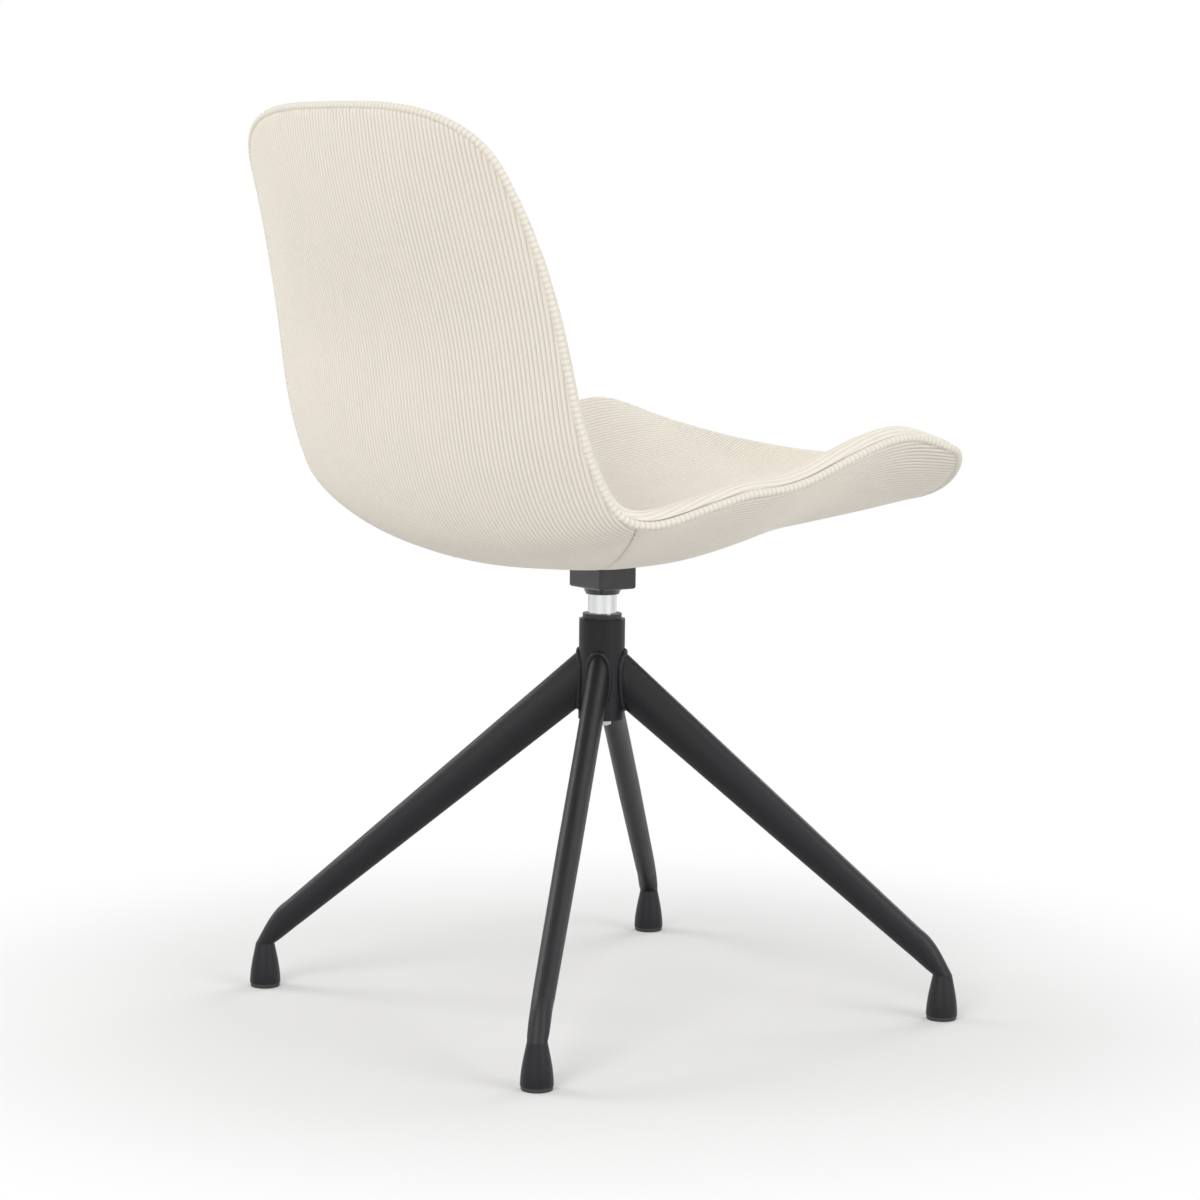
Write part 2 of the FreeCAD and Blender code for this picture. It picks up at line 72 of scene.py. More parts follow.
TOP_END_LENGTH, TOP_END_POWER = 0.0745, 3.2
PAD_SHARES = (0.0, 0.12, 0.24, 0.42, 0.60, 0.80, 1.0)
PAD_EDGES = (0.013, 0.0235, 0.0215, 0.0195, 0.018, 0.017, 0.010)
PAD_MIDDLES = (0.044, 0.040, 0.038, 0.036, 0.032, 0.028, 0.024)
PAD_LOW = 0.0081
FRONT_ROLL_HEIGHT, FRONT_ROLL_LENGTH = 0.057, 0.060
SEAM_SIDE_Y, SEAM_SIDE_X, SEAM_CENTRE_Y = 0.129, 0.218, 0.012
AXIS_Y = frame["record"]["behaviour"]["joints"][0]["pos_m"][1]

# Edges of the cloth panels
COVER_EDGE_INSET = 0.0008
COVER_RIM_DEPTH, COVER_BACK_LIFT = 0.0018, 0.0045
SEAM_HALF_GAP, SEAM_MARGIN = 0.0004, 0.02
SEAM_ROUND_SHARE, SEAM_DEPTH_SHARE = 0.6, 0.5
RIB_FADE, WAVE_FADE = 0.0015, 0.03
RIB_ROUNDNESS = 0.62
FILL_SPACING = 0.03
WELD_DISTANCE = 1e-6

# Mesh rows from each end of the shell, how far from each end the even rows stop, and the
# length left out when the even rows are counted
NEAR_ROWS = np.array([0.0, 0.0006, 0.0014, 0.0024, 0.0037, 0.0052, 0.007, 0.009])
FRONT_ROWS = np.arange(0.0115, 0.050, 0.003)
TOP_ROWS = np.arange(0.0115, 0.078, 0.0035)
FRONT_ROWS_END, TOP_ROWS_END = 0.052, 0.080
END_ROWS_LENGTH = 0.128

# Soft waves of the cloth: how many, and the widest one's radians per metre
WAVES, WAVE_SCALE = 5, 34.0

# The piping's rings, and the direction that keeps them from twisting
RINGS_PER_WALE, RING_SIDES, LINE_SMOOTHING = 4, 14, 12
PIPING_GROOVE = 0.00045
PIPING_STEADY = np.array([0.0, -0.5, 0.86])

# The pad's side wall, and how far its top rolls in from it
PAD_OUTSET, PAD_WALL_IN, PAD_WALL_STEPS = 0.0015, 0.006, 14
PAD_REACH, PAD_FRONT_REACH = 0.010, 0.018

# Numbers of the Mix node's sockets for colours
MIX_FACTOR, MIX_FIRST, MIX_SECOND, MIX_COLOUR = 0, 6, 7, 2

# The stage. Each lamp has a name, place, size, power in watts and colour
FLOOR_RADIUS = 14.0
AIM_HEIGHT = 0.45
SENSOR_WIDTH_MM = 36.0
LAMPS = (
    ("key", (-2.2, 3.6, 3.0), 2.4, 98.0, (1.0, 0.985, 0.965)),
    ("fill", (-3.6, -1.2, 2.0), 2.4, 54.0, (0.98, 0.99, 1.0)),
    ("rim", (2.8, 2.0, 2.4), 2.0, 46.0, (1.0, 1.0, 1.0)),
    ("front", (0.9, -3.4, 2.3), 2.4, 44.0, (1.0, 0.995, 0.985)),
)


class Spline:
    """Natural cubic through values at knots, carried on straight past both ends."""

    def __init__(self, knots, values):
        self.knots = np.array(knots)
        self.values = np.array(values)
        count = len(knots)
        gaps = np.diff(self.knots)
        slopes = np.diff(self.values) / gaps
        system = np.eye(count)
        right = np.zeros(count)
        for i in range(1, count - 1):
            system[i, i - 1:i + 2] = gaps[i - 1], 2.0 * (gaps[i - 1] + gaps[i]), gaps[i]
            right[i] = 6.0 * (slopes[i] - slopes[i - 1])
        self.bends = np.linalg.solve(system, right)

    def __call__(self, place):
        """Value and slope at each place."""
        place = np.asarray(place, float)
        inside = np.clip(place, self.knots[0], self.knots[-1])
        i = np.clip(np.searchsorted(self.knots, inside) - 1, 0, len(self.knots) - 2)
        gap = self.knots[i + 1] - self.knots[i]
        a = (self.knots[i + 1] - inside) / gap
        b = 1.0 - a
        value = a * self.values[i] + b * self.values[i + 1]
        pull = (a ** 3 - a) * self.bends[i] + (b ** 3 - b) * self.bends[i + 1]
        value = value + pull * gap * gap / 6.0
        slope = (self.values[i + 1] - self.values[i]) / gap
        pull = (1 - 3 * a * a) * self.bends[i] + (3 * b * b - 1) * self.bends[i + 1]
        slope = slope + pull * gap / 6.0
        return value + slope * (place - inside), slope


CHORD = np.concatenate([[0.0], np.cumsum(np.hypot(np.diff(PROFILE_Y), np.diff(PROFILE_RISE)))])
LENGTH = CHORD[-1]
profile_y = Spline(CHORD, PROFILE_Y)
profile_z = Spline(CHORD, PROFILE_RISE)
half_width_at = Spline(WIDTH_SHARES, HALF_WIDTHS)
side_rise_at = Spline(RISE_SHARES, SIDE_RISES)
pad_edge_at = Spline(PAD_SHARES, PAD_EDGES)
pad_middle_at = Spline(PAD_SHARES, PAD_MIDDLES)


def share_of(u):
    return np.clip(np.asarray(u) / LENGTH, 0.0, 1.0)


def section(u):
    """The two arcs of the shell's half section at place u: its half width, where the arcs meet,
    the middle arc's radius and angle, and the side arc's radius and centre."""
    share = share_of(u)
    width = half_width_at(share)[0]
    rise = side_rise_at(share)[0]
    flat = (FLAT_SHARE_SEAT + (FLAT_SHARE_BACK - FLAT_SHARE_SEAT) * share) * width
    flat_rise = FLAT_RISE_SHARE * rise
    big = (flat * flat + flat_rise * flat_rise) / (2.0 * flat_rise)
    lean = np.arcsin(flat / big)
    out, up = width - flat, rise - flat_rise
    side = (out * out + up * up) / (2.0 * (up * np.cos(lean) - out * np.sin(lean)))
    return width, flat, big, lean, side, flat - side * np.sin(lean), flat_rise + side * np.cos(lean)


def along_section(u, x):
    """Length along the section from the centre plane out to x."""
    width, flat, big, lean, side, centre_x, centre_z = section(u)
    on_big = big * np.arcsin(np.clip(x / big, -1, 1))
    on_side = big * lean + side * (np.arcsin(np.clip((x - centre_x) / side, -1, 1)) - lean)
    return np.where(x <= flat, on_big, on_side)


def place(u, a, lift):
    """Points at place u along the profile, a along the section, lift in from the outer face."""
    y, along_y = profile_y(u)
    z, along_z = profile_z(u)
    size = np.hypot(along_y, along_z)
    width, flat, big, lean, side, centre_x, centre_z = section(u)
    far = np.abs(a) > big * lean
    turn = np.where(far, lean + (np.abs(a) - big * lean) / side, np.abs(a) / big)
    radius = np.where(far, side, big)
    x = np.where(far, centre_x, 0.0) + (radius - lift) * np.sin(turn)
    h = np.where(far, centre_z, big) - (radius - lift) * np.cos(turn)
    across = AXIS_Y + y - along_z / size * h
    height = BELLY + z + along_y / size * h
    return np.stack([np.sign(a) * x, across, height], -1)


def outline_half(inset=0.0, steps=60):
    """Places (u, a) up one side of the shell's edge, front tip to top, moved in by inset."""
    turn = np.linspace(0.0, pi / 2, steps)
    front = np.sin(turn) ** (2 / FRONT_END_POWER)
    top = np.sin(turn) ** (2 / TOP_END_POWER)
    u_front = FRONT_END_LENGTH * (1 - (1 - front ** FRONT_END_POWER) ** (1 / FRONT_END_POWER))
    u_top = LENGTH - TOP_END_LENGTH * (1 - (1 - top ** TOP_END_POWER) ** (1 / TOP_END_POWER))
    u_side = np.linspace(FRONT_END_LENGTH, LENGTH - TOP_END_LENGTH, 4 * steps)[1:-1]
    u = np.concatenate([u_front, u_side, u_top[::-1]])
    share = np.concatenate([front, np.ones(len(u_side)), top[::-1]])
    a = along_section(u, share * half_width_at(share_of(u))[0])
    out = np.stack([-np.gradient(a), np.gradient(u)], -1)
    out /= np.linalg.norm(out, axis=1)[:, None]
    out[0] = -1.0, 0.0
    out[-1] = 1.0, 0.0
    return u - out[:, 0] * inset, np.maximum(a - out[:, 1] * inset, 0.0)


def smooth_step(x):
    x = np.clip(x, 0.0, 1.0)
    return x * x * (3.0 - 2.0 * x)


def nearest(u, a, edge_u, edge_a):
    """Distance from each place to a run of edge places."""
    best = np.full(len(u), np.inf)
    for start in range(0, len(edge_u), 40):
        du = u[:, None] - edge_u[None, start:start + 40]
        da = np.abs(a)[:, None] - edge_a[None, start:start + 40]
        best = np.minimum(best, np.sqrt((du * du + da * da).min(1)))
    return best


def ripple(u, a, seed):
    """Soft unevenness of stretched cloth, from -1 to 1."""
    value = 0.0
    for i in range(WAVES):
        turn = seed * 1.7 + i * 2.4
        scale = WAVE_SCALE * 1.5 ** i
        value = value + np.sin(scale * (u * cos(turn) + a * sin(turn)) + seed + 3.1 * i) / 1.6 ** i
    return value / 2.4


def seam_line(a_values):
    """Place u of the mitre seam for each distance a along the section."""
    u = np.linspace(0.1, 0.8, 1400) * LENGTH
    found = []
    slope = (SEAM_SIDE_Y - SEAM_CENTRE_Y) / SEAM_SIDE_X
    for a in a_values:
        p = place(u, np.full(len(u), abs(a)), 0.0)
        behind = p[:, 1] - AXIS_Y - SEAM_CENTRE_Y - slope * np.abs(p[:, 0])
        i = int(np.argmax(behind > 0.0))
        found.append(u[i - 1] + (u[i] - u[i - 1]) * -behind[i - 1] / (behind[i] - behind[i - 1]))
    return np.array(found)


def edge_limits(edge_u, edge_a):
    """Half width for each u, and lowest and highest u for each a, split where the outline
    turns past 45 degrees."""
    steep = np.abs(np.gradient(edge_u)) >= np.abs(np.gradient(edge_a))
    first = int(np.argmax(steep))
    last = len(steep) - 1 - int(np.argmax(steep[::-1]))

    def half(u):
        return np.interp(u, edge_u[first:last + 1], edge_a[first:last + 1])

    def low(a):
        return float(np.interp(abs(a), edge_a[:first + 1], edge_u[:first + 1]))

    def high(a):
        return float(np.interp(abs(a), edge_a[last:][::-1], edge_u[last:][::-1]))

    return half, low, high


def end_rows(low, high, row_gap):
    """Rows from low to high, closer together near both ends."""
    count = int((high - low - END_ROWS_LENGTH) / row_gap)
    middle = np.linspace(low + FRONT_ROWS_END, high - TOP_ROWS_END, count)
    return np.concatenate([low + NEAR_ROWS, low + FRONT_ROWS, middle, high - TOP_ROWS[::-1],
                           high - NEAR_ROWS[::-1]])


def strip_grid(rows, edge_a, step, low_u, high_u):
    """Grid of places whose columns keep a constant a; the outer ones are drawn in to the edge.
    low_u and high_u give a lowest and highest u for each distance a. Returns places and faces."""
    most = int(np.ceil(edge_a.max() / step))
    places = []
    index = {}

    def vertex(j, k):
        sign = 1 if k >= 0 else -1
        while True:
            last = int(np.ceil(edge_a[j] / step - 0.3))
            k = sign * min(abs(k), last)
            a = edge_a[j] if abs(k) == last else abs(k) * step
            if j + 1 < len(rows) and rows[j + 1] < low_u(a):
                j += 1
            elif j > 0 and rows[j - 1] > high_u(a):
                j -= 1
            else:
                break
        if (j, k) not in index:
            index[j, k] = len(places)
            places.append((min(max(rows[j], low_u(a)), high_u(a)), sign * a))
        return index[j, k]

    faces = []
    for j in range(len(rows) - 1):
        for k in range(-most, most):
            ring = [vertex(j, k), vertex(j + 1, k), vertex(j + 1, k + 1), vertex(j, k + 1)]
            ring = [v for i, v in enumerate(ring) if v != ring[i - 1]]
            if len(set(ring)) >= 3 and len(set(ring)) == len(ring):
                faces.append(ring)
    return np.array(places), faces


def border_loop(faces):
    """Vertices of the faces' open border, in order, with the surface on the left of each step."""
    used = {}
    for ring in faces:
        for i, v in enumerate(ring):
            used[ring[i - 1], v] = used.get((ring[i - 1], v), 0) + 1
    following = {a: b for a, b in used if (b, a) not in used}
    start = next(iter(following))
    loop = [start]
    while following[loop[-1]] != start:
        loop.append(following[loop[-1]])
    return loop


def outwards(points):
    """Outward direction in the (u, a) plane at each point of a closed loop."""
    ahead = np.roll(points, -3, axis=0) - np.roll(points, 3, axis=0)
    out = np.stack([-ahead[:, 1], ahead[:, 0]], -1)
    out /= np.maximum(np.linalg.norm(out, axis=1), 1e-9)[:, None]
    middle = points.mean(0)
    if ((points - middle) * out).sum() < 0:
        out = -out
    return out


def back_fill(loop_places, first, start, spacing=FILL_SPACING):
    """Coarse filling inside a closed loop of places. The loop's vertices count from first, and
    the new places that it returns from start."""
    low, high = loop_places.min(0), loop_places.max(0)
    inner = []
    u = low[0] + spacing
    while u < high[0] - spacing / 2:
        a = low[1] + spacing
        while a < high[1] - spacing / 2:
            inner.append((u, a))
            a += spacing
        u += spacing
    inner = np.array(inner)
    gap = np.full(len(inner), np.inf)
    for i in range(0, len(loop_places), 100):
        d = inner[:, None] - loop_places[None, i:i + 100]
        gap = np.minimum(gap, np.sqrt((d * d).sum(-1)).min(1))
    inner = inner[gap > spacing * 0.4]
    points = [Vector(p) for p in np.concatenate([loop_places, inner])]
    count = len(loop_places)
    edges = [(i, (i + 1) % count) for i in range(count)]
    out_points, _, out_faces, origins, _, _ = delaunay_2d_cdt(points, edges, [], 1, 1e-7)
    kept = np.array([tuple(p) for p in out_points])
    source = [o[0] if o else -1 for o in origins]
    extra = {}
    new_places = []
    faces = []
    for ring in out_faces:
        named = []
        for v in ring:
            if 0 <= source[v] < count:
                named.append(first + source[v])
            else:
                if v not in extra:
                    extra[v] = len(new_places)
                    new_places.append(kept[v])
                named.append(start + extra[v])
        faces.append(named)
    return np.array(new_places), faces


def open_edges(mesh):
    """Number of edges that don't join exactly two faces."""
    form = bmesh.new()
    form.from_mesh(mesh)
    count = sum(not edge.is_manifold for edge in form.edges)
    form.free()
    return count


def mesh_object(name, points, faces, body, node, material, layers):
    """Smooth-shaded closed object from points and faces; layers are named values at the points."""
    mesh = bpy.data.meshes.new(name)
    mesh.from_pydata([tuple(p) for p in points], [], faces)
    for key, values in layers.items():
        layer = mesh.attributes.new(key, "FLOAT", "POINT")
        layer.data.foreach_set("value", np.asarray(values, np.float32))
    mesh.materials.append(material)
    mesh.update()
    piece = bpy.data.objects.new(name, mesh)
    bpy.context.scene.collection.objects.link(piece)
    for other in bpy.context.selected_objects:
        other.select_set(False)
    piece.select_set(True)
    bpy.context.view_layer.objects.active = piece
    bpy.ops.object.mode_set(mode="EDIT")
    bpy.ops.mesh.select_all(action="SELECT")
    bpy.ops.mesh.remove_doubles(threshold=WELD_DISTANCE)
    bpy.ops.mesh.normals_make_consistent(inside=False)
    bpy.ops.object.mode_set(mode="OBJECT")
    bpy.ops.object.shade_smooth()
    piece.select_set(False)
    if open_edges(mesh):
        raise RuntimeError(f"{name} isn't closed")
    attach(piece, body)
    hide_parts(*node)
    return piece


class Value:
    """A number at a shader socket; arithmetic on it adds Math nodes."""

    def __init__(self, tree, socket):
        self.tree = tree
        self.socket = socket

    def _math(self, operation, *others):
        node = self.tree.nodes.new("ShaderNodeMath")
        node.operation = operation
        for slot, other in zip(node.inputs, others):
            if isinstance(other, Value):
                self.tree.links.new(other.socket, slot)
            else:
                slot.default_value = other
        return Value(self.tree, node.outputs[0])

    def __add__(self, other):
        return self._math("ADD", self, other)

    def __sub__(self, other):
        return self._math("SUBTRACT", self, other)

    def __rsub__(self, other):
        return self._math("SUBTRACT", other, self)

    def __mul__(self, other):
        return self._math("MULTIPLY", self, other)

    __radd__ = __add__
    __rmul__ = __mul__


class Shading:
    """A node tree, with one method that adds any node."""

    def __init__(self, tree):
        self.tree = tree

    def node(self, kind, settings=None, sockets=None, output=0):
        """Adds a node: its settings first, and then values or links by socket name or number."""
        node = self.tree.nodes.new(kind)
        for key, value in (settings or {}).items():
            setattr(node, key, value)
        for key, value in (sockets or {}).items():
            self.put(node.inputs[key], value)
        return Value(self.tree, node.outputs[output])

    def put(self, socket, value):
        """Links a value to a socket, or sets a constant on it."""
        if isinstance(value, Value):
            self.tree.links.new(value.socket, socket)
        elif hasattr(socket.default_value, "__len__") and len(socket.default_value) == 4:
            socket.default_value = (*value, 1.0)
        else:
            socket.default_value = value


class Finish(Shading):
    """One material with its shader."""

    def __init__(self, name):
        self.material = bpy.data.materials.new(name)
        self.material.use_nodes = True
        super().__init__(self.material.node_tree)
        self.shader = self.tree.nodes["Principled BSDF"]

    def set(self, **values):
        """Puts values or links on the shader's sockets."""
        for key, value in values.items():
            self.put(self.shader.inputs[key.replace("_", " ")], value)

    def blend(self, factor, first, second):
        """Mix of two colours."""
        sockets = {MIX_FACTOR: factor, MIX_FIRST: first, MIX_SECOND: second}
        return self.node("ShaderNodeMix", {"data_type": "RGBA"}, sockets, MIX_COLOUR)

    def noise(self, scale, detail, roughness=0.5, vector=None):
        """Noise over the object's own coordinates, or over those given."""
        if vector is None:
            vector = self.node("ShaderNodeTexCoord", output="Object")
        sockets = {"Vector": vector, "Scale": scale, "Detail": detail, "Roughness": roughness}
        return self.node("ShaderNodeTexNoise", sockets=sockets)

    def bump(self, height, distance, strength):
        sockets = {"Height": height, "Distance": distance, "Strength": strength}
        return self.node("ShaderNodeBump", sockets=sockets)


def shade(colour, amount):
    return tuple(c * amount for c in colour)


def cream_fabric(name, colours, brightness, painted_groove_shade):
    """Brushed wide-wale corduroy: painted shade between the wales, with a fine uneven pile."""
    finish = Finish(name)
    colour = shade(colours.fabric, brightness)
    rib = finish.node("ShaderNodeAttribute", {"attribute_name": "rib"}, output="Fac")
    pile = finish.noise(1500.0, 3.0, 0.6)
    patches = finish.noise(26.0, 3.0)
    # Painted shade: the colour darkens between the wales, following the rib attribute, by the given
    # amount
    colour_with_painted_groove_shade = finish.blend(rib, shade(colour, painted_groove_shade), colour)
    mottled = finish.blend(patches * 0.5, colour_with_painted_groove_shade, shade(colours.fabric_warm, brightness))
    finish.set(Base_Color=finish.blend((1.0 - pile) * 0.16, mottled, shade(colour, 0.62)),
               Roughness=0.86 + 0.1 * pile, Sheen_Weight=0.25, Sheen_Roughness=0.45,
               Sheen_Tint=(1.0, 0.98, 0.94), Specular_IOR_Level=0.25,
               Normal=finish.bump(pile, 0.0006, 0.55))
    return finish.material


def powder_coat(name, colours):
    """Fine textured black powder coat."""
    finish = Finish(name)
    grain = finish.noise(1500.0, 2.0, 0.55)
    patches = finish.noise(40.0, 3.0)
    finish.set(Base_Color=finish.blend(patches, colours.coating, shade(colours.coating, 1.35)),
               Roughness=0.36 + 0.12 * patches, Specular_IOR_Level=0.34,
               Normal=finish.bump(grain, 0.00035, 0.45))
    return finish.material


def chrome(name):
    """Polished plating with faint wiping marks round the post."""
    finish = Finish(name)
    position = finish.node("ShaderNodeTexCoord", output="Object")
    stretch = {"Vector": position, "Scale": (1.0, 1.0, 40.0)}
    stretched = finish.node("ShaderNodeMapping", sockets=stretch)
    marks = finish.noise(60.0, 4.0, vector=stretched)
    finish.set(Base_Color=finish.blend(marks * 0.3, (0.86, 0.87, 0.88), (0.74, 0.75, 0.77)),
               Metallic=1.0, Roughness=0.05 + 0.06 * marks,
               Normal=finish.bump(marks, 0.00004, 0.3))
    return finish.material


def zinc(name):
    """Bright zinc plating of the hidden fasteners."""
    finish = Finish(name)
    grain = finish.noise(420.0, 4.0)
    finish.set(Base_Color=finish.blend(grain, (0.55, 0.56, 0.58), (0.70, 0.71, 0.72)),
               Metallic=1.0, Roughness=0.28 + 0.16 * grain,
               Normal=finish.bump(grain, 0.00008, 0.4))
    return finish.material


def moulded(name, colour, roughness, coat=0.0):
    """Moulded plastic with a slight flow texture."""
    finish = Finish(name)
    flow = finish.noise(30.0, 3.0)
    grain = finish.noise(1800.0, 2.0)
    finish.set(Base_Color=finish.blend(flow, colour, shade(colour, 1.25)),
               Roughness=roughness + 0.05 * flow, Coat_Weight=coat, Coat_Roughness=0.05,
               Normal=finish.bump(grain, 0.00005 + 0.0002 * roughness, 0.35))
    return finish.material


def wale(place_along, pitch):
    """Height of the ribs, 0 in the grooves and 1 on the wales."""
    return np.abs(np.sin(pi * place_along / pitch)) ** RIB_ROUNDNESS


class ChairCloth(bpy.types.PropertyGroup):
    """Sizes of the ribbed cloth and its seams"""
    wale_pitch: FloatProperty(
        name="Wale pitch", description="Distance from rib to rib", default=0.005,
        subtype="DISTANCE")
    wale_depth: FloatProperty(
        name="Wale depth", description="Depth of the grooves between the ribs", default=0.0011,
        subtype="DISTANCE")
    steps: IntProperty(
        name="Steps in a wale", description="Mesh columns for each rib", default=6)
    row_gap: FloatProperty(
        name="Row gap", description="Distance between mesh rows", default=0.0082,
        subtype="DISTANCE")
    seam_round: FloatProperty(
        name="Seam rounding", description="Width of the roll into a seam", default=0.007,
        subtype="DISTANCE")
    seam_depth: FloatProperty(
        name="Seam depth", description="Depth of the roll into a seam", default=0.0026,
        subtype="DISTANCE")
    unevenness: FloatProperty(
        name="Unevenness", description="Height of the cloth's soft waves", default=0.0005,
        subtype="DISTANCE")


class ChairPiping(bpy.types.PropertyGroup):
    """Sizes of the piping round the shell's edge"""
    radius: FloatProperty(
        name="Radius", description="Radius of the piping", default=0.0036, subtype="DISTANCE")
    outset: FloatProperty(
        name="Outset", description="How far it stands out past the covers' edge", default=0.0015,
        subtype="DISTANCE")
    lift: FloatProperty(
        name="Lift", description="How far in from the outer face its middle lies",
        default=0.0034, subtype="DISTANCE")


class ChairColours(bpy.types.PropertyGroup):
    """Colours of the chair's finishes"""
    fabric: FloatVectorProperty(
        name="Fabric", description="Cream of the cloth", subtype="COLOR",
        default=(0.87, 0.82, 0.73))
    fabric_warm: FloatVectorProperty(
        name="Warm fabric", description="Warmer tone in the cloth's patches", subtype="COLOR",
        default=(0.86, 0.795, 0.69))
    coating: FloatVectorProperty(
        name="Powder coat", description="Black of the base", subtype="COLOR",
        default=(0.006, 0.006, 0.008))


class ChairView(bpy.types.PropertyGroup):
    """Where the camera stands"""
    azimuth: FloatProperty(
        name="Azimuth", description="Direction of the camera round the chair",
        default=radians(234.14), subtype="ANGLE")
    distance: FloatProperty(
        name="Distance", description="From the swivel axis to the camera", default=3.1616,
        subtype="DISTANCE")
    height: FloatProperty(
        name="Height", description="Height of the camera", default=0.7626, subtype="DISTANCE")
    pitch: FloatProperty(
        name="Pitch", description="How far it looks down", default=radians(6.94),
        subtype="ANGLE")
    yaw: FloatProperty(
        name="Yaw", description="How far it looks to the side", default=radians(-0.04),
        subtype="ANGLE")
    roll: FloatProperty(
        name="Roll", description="Its tilt about its own view line", default=radians(0.62),
        subtype="ANGLE")
    lens: FloatProperty(
        name="Lens", description="Focal length in millimetres", default=103.86)


def cover(name, node, material, back, cloth):
    """One outer cover from the mitre seam to the edge, with wales along the profile."""
    step = cloth.wale_pitch / cloth.steps
    edge_u, edge_a = outline_half()
    inner_u, inner_a = outline_half(COVER_EDGE_INSET)
    seam_a = np.linspace(0.0, edge_a.max() * 1.02, 90)
    seam_u = seam_line(seam_a)

    side_gap = SEAM_HALF_GAP if back else -SEAM_HALF_GAP

    def seam(a):
        return float(np.interp(abs(a), seam_a, seam_u)) + side_gap

    half, low, high = edge_limits(inner_u, inner_a)
    rows = end_rows(inner_u[0], inner_u[-1], cloth.row_gap)
    if back:
        rows = rows[rows > seam_u.min() - SEAM_MARGIN]
        places, faces = strip_grid(rows, half(rows), step, seam, high)
    else:
        rows = rows[rows < seam_u.max() + SEAM_MARGIN]
        places, faces = strip_grid(rows, half(rows), step, low, seam)
    u, a = places.T
    to_edge = nearest(u, a, edge_u, edge_a)
    to_seam = nearest(u, a, seam_u, seam_a)
    inside = np.clip(1 - to_edge / cloth.seam_round, 0, 1)
    lift = cloth.seam_depth * (1 - np.sqrt(1 - inside ** 2))
    inside = np.clip(1 - to_seam / (SEAM_ROUND_SHARE * cloth.seam_round), 0, 1)
    lift = lift + SEAM_DEPTH_SHARE * cloth.seam_depth * (1 - np.sqrt(1 - inside ** 2))
    soft = smooth_step(np.minimum(to_edge, to_seam) / WAVE_FADE)
    lift = lift - cloth.unevenness * ripple(u, a, 3.0 if back else 5.0) * soft
    rib = wale(a, cloth.wale_pitch) * smooth_step(to_edge / RIB_FADE)
    lift = lift + cloth.wale_depth * (1 - rib)
    closed_panel(name, node, material, places, faces, lift, rib)


def wall_between(upper, lower):
    """Faces between two closed rings of vertices."""
    count = len(upper)
    return [[upper[i], lower[i], lower[(i + 1) % count], upper[(i + 1) % count]]
            for i in range(count)]


def closed_panel(name, node, material, places, faces, lift, rib):
    """Gives a sheet of places its thickness: a rim round its border and a coarse hidden back."""
    loop = border_loop(faces)
    rim = places[loop]
    first = len(places)
    start = first + len(loop)
    walls = wall_between(loop, range(first, start))
    inner, fill = back_fill(rim, first, start)
    points = np.concatenate([
        place(places[:, 0], places[:, 1], lift),
        place(rim[:, 0], rim[:, 1], lift[loop] + COVER_RIM_DEPTH),
        place(inner[:, 0], inner[:, 1], COVER_BACK_LIFT),
    ])
    ribs = np.concatenate([rib, np.zeros(len(loop) + len(inner))])
    piece = mesh_object(name, points, faces + walls + fill, "seat", node, material, {"rib": ribs})


class CHAIR_OT_covers(bpy.types.Operator):
    """Models the back cover and the under cover, which meet at a mitre seam"""
    bl_idname = "chair.covers"
    bl_label = "Outer covers"

    def execute(self, context):
        cloth = context.scene.chair_cloth
        # The last number sets the painted shade between the wales
        material = cream_fabric("cream_cord_outside", context.scene.chair_colours, 1.0, 0.62)
        cover("back_cover_cloth", ["back_cover"], material, True, cloth)
        cover("under_cover_cloth", ["under_cover"], material, False, cloth)
        return {"FINISHED"}


class CHAIR_OT_piping(bpy.types.Operator):
    """Models the ribbed piping round the shell's edge"""
    bl_idname = "chair.piping"
    bl_label = "Edge piping"

    def execute(self, context):
        cloth = context.scene.chair_cloth
        piping = context.scene.chair_piping
        half_u, half_a = outline_half(-piping.outset, 120)
        u = np.concatenate([half_u, half_u[-2:0:-1]])
        a = np.concatenate([half_a, -half_a[-2:0:-1]])
        centre = place(u, a, piping.lift)
        closed = np.concatenate([centre, centre[:1]])
        run = np.concatenate([[0.0], np.cumsum(np.linalg.norm(np.diff(closed, axis=0), axis=1))])
        wales = int(round(run[-1] / cloth.wale_pitch))
        rings = wales * RINGS_PER_WALE
        at = np.arange(rings) * run[-1] / rings
        line = np.stack([np.interp(at, run, closed[:, i]) for i in range(3)], -1)
        for _ in range(LINE_SMOOTHING):
            line = (np.roll(line, 1, 0) + 2 * line + np.roll(line, -1, 0)) / 4
        along = np.roll(line, -2, 0) - np.roll(line, 2, 0)
        along /= np.linalg.norm(along, axis=1)[:, None]
        first = PIPING_STEADY - along * (along @ PIPING_STEADY)[:, None]
        first /= np.linalg.norm(first, axis=1)[:, None]
        second = np.cross(along, first)
        rib = wale(at * wales / run[-1] * cloth.wale_pitch, cloth.wale_pitch)
        radius = piping.radius - PIPING_GROOVE * (1 - rib)
        sides = RING_SIDES
        turn = (np.arange(sides) * 2 * pi / sides)[None, :, None]
        ring = first[:, None] * np.cos(turn) + second[:, None] * np.sin(turn)
        points = (line[:, None] + ring * radius[:, None, None]).reshape(-1, 3)
        faces = []
        for i in range(rings):
            after = (i + 1) % rings
            for k in range(sides):
                near = (k + 1) % sides
                faces.append([i * sides + k, i * sides + near,
                              after * sides + near, after * sides + k])
        # The last number sets the painted shade between the wales
        material = cream_fabric("cream_cord_piping", context.scene.chair_colours, 0.97, 0.76)
        piece = mesh_object("edge_piping_cloth", points, faces, "seat", ["edge_piping"],
                            material, {"rib": np.repeat(rib, sides)})
        return {"FINISHED"}


